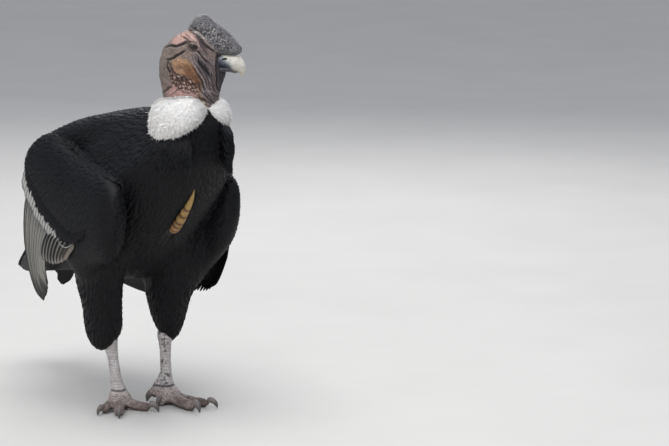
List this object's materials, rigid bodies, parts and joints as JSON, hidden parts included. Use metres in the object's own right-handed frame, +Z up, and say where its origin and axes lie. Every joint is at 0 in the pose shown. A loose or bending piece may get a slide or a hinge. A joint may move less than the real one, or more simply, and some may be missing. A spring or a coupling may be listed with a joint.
{
  "type": "andean condor",
  "caption": "Adult male Andean condor standing with folded wings, bare wrinkled head with a comb turned to its left, white down ruff, hooked bill and black plumage.",
  "frame": {"origin": "on the floor, under the middle of the bird's whole body from bill to tail", "axes": "+Z is up; the bird's breast faces -Y and its tail points along +Y; its right side is -X"},
  "size_m": [0.3264, 0.7614, 0.8123],
  "materials": {
    "plumage": "soft black feathers over flesh",
    "wing_sheen": "black coverts with a faint blue-grey sheen",
    "grey_white": "grey-white flight feathers",
    "flight": "satin black flight feathers",
    "down": "white fluffy down",
    "face": "bare wrinkled skin, ochre to grey-brown",
    "comb": "grey warty skin",
    "horn": "ivory horn, satin",
    "eye": "dark wet eye",
    "shank": "light grey scaled skin",
    "foot": "grey-brown scaled skin",
    "claw": "dull brown horn"
  },
  "bodies": {
    "root": {"bill_lower": "horn", "bill_upper": "horn", "claw_hind_left": "claw", "claw_hind_right": "claw", "claw_inner_left": "claw", "claw_inner_right": "claw", "claw_middle_left": "claw", "claw_middle_right": "claw", "claw_outer_left": "claw", "claw_outer_right": "claw", "comb": "comb", "eye_left": "eye", "eye_right": "eye", "foot_left": "foot", "foot_right": "foot", "head": "face", "neck": "face", "primaries_left": "flight", "primaries_right": "flight", "ruff": "down", "secondaries_left": "grey_white", "secondaries_right": "grey_white", "shank_left": "shank", "shank_right": "shank", "tail": "flight", "tertials_left": "flight", "tertials_right": "flight", "thigh_left": "plumage", "thigh_right": "plumage", "trunk": "plumage", "wing_left": "wing_sheen", "wing_right": "wing_sheen"}
  },
  "joints": []
}
